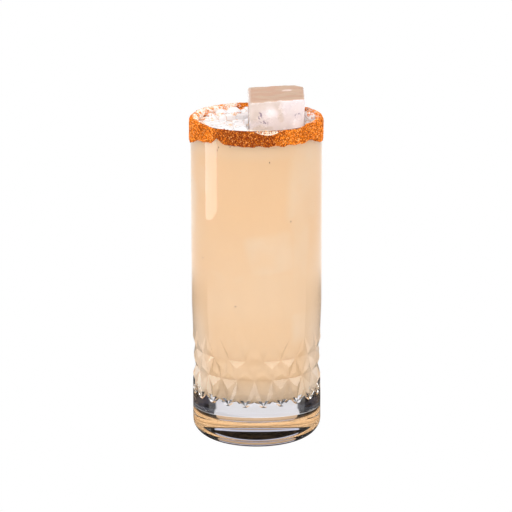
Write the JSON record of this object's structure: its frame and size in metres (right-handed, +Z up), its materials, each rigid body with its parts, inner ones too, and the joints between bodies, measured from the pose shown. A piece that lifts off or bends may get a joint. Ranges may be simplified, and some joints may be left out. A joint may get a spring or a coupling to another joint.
{
  "type": "paloma cocktail in a cut-glass highball tumbler",
  "caption": "Tall cut-glass tumbler of cloudy pale-peach paloma, with a chilli-salt rim and clear ice standing out of the top.",
  "frame": {"origin": "on the tumbler's axis, at the plane that its foot stands on", "axes": "+Z up along the tumbler's axis, -Y towards the picture's camera"},
  "size_m": [0.0679, 0.0679, 0.1775],
  "materials": {
    "glass": "clear and polished, with a band of cut facets",
    "drink": "cloudy pale peach liquid",
    "crust": "coarse grains, matte",
    "ice": "clear ice with a cloudy core"
  },
  "bodies": {
    "root": {"glass": "glass", "drink": "drink", "chilli_salt_rim": "crust", "ice_block_tall": "ice", "ice_block_left": "ice", "ice_block_middle": "ice", "ice_block_back": "ice"}
  },
  "joints": []
}
